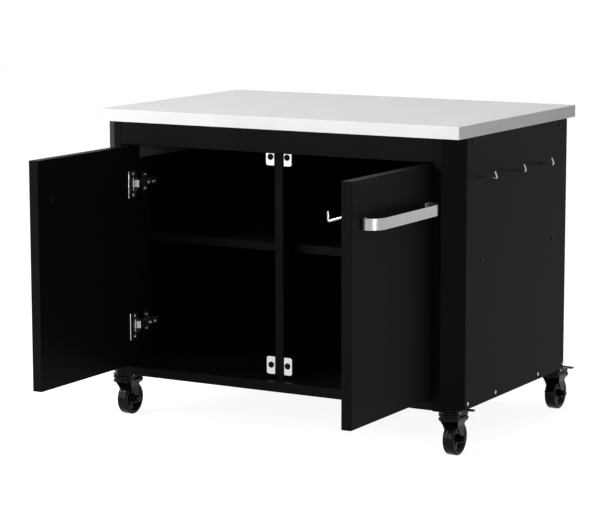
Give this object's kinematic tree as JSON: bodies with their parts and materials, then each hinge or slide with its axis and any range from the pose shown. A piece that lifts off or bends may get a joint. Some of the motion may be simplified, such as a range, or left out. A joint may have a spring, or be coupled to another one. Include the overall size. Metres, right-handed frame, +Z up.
{
  "type": "grill cart with storage",
  "caption": "Grill cart with storage: grey worktop on a black sheet-steel cabinet with two hinged doors, shelves, pull handles, hooks and braked swivel casters",
  "frame": {"origin": "centre of the worktop's top face", "axes": "+X to the right seen from the front, +Y from front to back, +Z up"},
  "size_m": [0.9491, 1.0036, 0.717],
  "materials": {
    "grey_worktop": "light grey powder coat, satin",
    "board_core": "plain particle board, hidden in the worktop",
    "black_panels": "black powder coat, satin",
    "zinc_rails": "zinc plated",
    "bright_trim": "bright nickel plated",
    "brushed_handle": "finely brushed lengthwise",
    "black_plastic": "matt black",
    "black_steel": "glossy black",
    "black_wheel": "smooth black plastic"
  },
  "bodies": {
    "cart": {"worktop": "grey_worktop", "worktop_board": "board_core", "side_panel_left": "black_panels", "side_panel_right": "black_panels", "back_panel": "black_panels", "bottom_panel": "black_panels", "front_rail": "black_panels", "partition": "black_panels", "shelf_left": "black_panels", "shelf_right": "black_panels", "side_rail_left": "zinc_rails", "side_rail_right": "zinc_rails", "hinge_post_left": "zinc_rails", "hinge_post_right": "zinc_rails", "base_channel_left": "zinc_rails", "base_channel_right": "zinc_rails", "catch_plates": "bright_trim", "catch_magnets": "black_plastic", "body_screws": "bright_trim", "side_hooks": "bright_trim", "hinge_plates": "bright_trim", "hinge_screws": "bright_trim", "hinge_arm_left_upper": "bright_trim", "hinge_arm_left_lower": "bright_trim", "hinge_arm_right_upper": "bright_trim", "hinge_arm_right_lower": "bright_trim", "caster_mount_front_left": "black_steel", "caster_mount_front_right": "black_steel", "caster_mount_back_left": "black_steel", "caster_mount_back_right": "black_steel", "stem_nuts": "bright_trim"},
    "door_left": {"door_skin_left": "black_panels", "door_pan_left": "black_panels", "handle_left": "brushed_handle", "handle_plate_left": "black_panels", "handle_screws_left": "bright_trim", "hinge_cups_left": "bright_trim"},
    "door_right": {"door_skin_right": "black_panels", "door_pan_right": "black_panels", "handle_right": "brushed_handle", "handle_plate_right": "black_panels", "handle_screws_right": "bright_trim", "hinge_cups_right": "bright_trim", "door_hook": "bright_trim"},
    "swivel_front_left": {"caster_fork_front_left": "black_steel", "caster_axle_front_left": "black_steel"},
    "wheel_front_left": {"caster_wheel_front_left": "black_wheel"},
    "pedal_front_left": {"caster_pedal_front_left": "black_wheel"},
    "swivel_front_right": {"caster_fork_front_right": "black_steel", "caster_axle_front_right": "black_steel"},
    "wheel_front_right": {"caster_wheel_front_right": "black_wheel"},
    "pedal_front_right": {"caster_pedal_front_right": "black_wheel"},
    "swivel_back_left": {"caster_fork_back_left": "black_steel", "caster_axle_back_left": "black_steel"},
    "wheel_back_left": {"caster_wheel_back_left": "black_wheel"},
    "pedal_back_left": {"caster_pedal_back_left": "black_wheel"},
    "swivel_back_right": {"caster_fork_back_right": "black_steel", "caster_axle_back_right": "black_steel"},
    "wheel_back_right": {"caster_wheel_back_right": "black_wheel"},
    "pedal_back_right": {"caster_pedal_back_right": "black_wheel"}
  },
  "joints": [
    {"name": "door_left_hinge", "type": "hinge", "parent": "cart", "child": "door_left", "pos_m": [-0.37835, -0.28085, -0.33325], "axis": [0, 0, 1], "range_deg": [0, 90]},
    {"name": "door_right_hinge", "type": "hinge", "parent": "cart", "child": "door_right", "pos_m": [0.37835, -0.28085, -0.33325], "axis": [0, 0, 1], "range_deg": [-90, 0]},
    {"name": "swivel_front_left_turn", "type": "hinge", "parent": "cart", "child": "swivel_front_left", "pos_m": [-0.421, -0.269, -0.625], "axis": [0, 0, 1], "continuous": true},
    {"name": "wheel_front_left_spin", "type": "hinge", "parent": "swivel_front_left", "child": "wheel_front_left", "pos_m": [-0.421, -0.2415, -0.6795], "axis": [1, 0, 0], "continuous": true},
    {"name": "pedal_front_left_press", "type": "hinge", "parent": "swivel_front_left", "child": "pedal_front_left", "pos_m": [-0.421, -0.227, -0.636], "axis": [1, 0, 0], "range_deg": [-12, 0]},
    {"name": "swivel_front_right_turn", "type": "hinge", "parent": "cart", "child": "swivel_front_right", "pos_m": [0.421, -0.269, -0.625], "axis": [0, 0, 1], "continuous": true},
    {"name": "wheel_front_right_spin", "type": "hinge", "parent": "swivel_front_right", "child": "wheel_front_right", "pos_m": [0.421, -0.2415, -0.6795], "axis": [1, 0, 0], "continuous": true},
    {"name": "pedal_front_right_press", "type": "hinge", "parent": "swivel_front_right", "child": "pedal_front_right", "pos_m": [0.421, -0.227, -0.636], "axis": [1, 0, 0], "range_deg": [-12, 0]},
    {"name": "swivel_back_left_turn", "type": "hinge", "parent": "cart", "child": "swivel_back_left", "pos_m": [-0.421, 0.269, -0.625], "axis": [0, 0, 1], "continuous": true},
    {"name": "wheel_back_left_spin", "type": "hinge", "parent": "swivel_back_left", "child": "wheel_back_left", "pos_m": [-0.421, 0.2965, -0.6795], "axis": [1, 0, 0], "continuous": true},
    {"name": "pedal_back_left_press", "type": "hinge", "parent": "swivel_back_left", "child": "pedal_back_left", "pos_m": [-0.421, 0.311, -0.636], "axis": [1, 0, 0], "range_deg": [-12, 0]},
    {"name": "swivel_back_right_turn", "type": "hinge", "parent": "cart", "child": "swivel_back_right", "pos_m": [0.421, 0.269, -0.625], "axis": [0, 0, 1], "continuous": true},
    {"name": "wheel_back_right_spin", "type": "hinge", "parent": "swivel_back_right", "child": "wheel_back_right", "pos_m": [0.421, 0.2965, -0.6795], "axis": [1, 0, 0], "continuous": true},
    {"name": "pedal_back_right_press", "type": "hinge", "parent": "swivel_back_right", "child": "pedal_back_right", "pos_m": [0.421, 0.311, -0.636], "axis": [1, 0, 0], "range_deg": [-12, 0]}
  ]
}
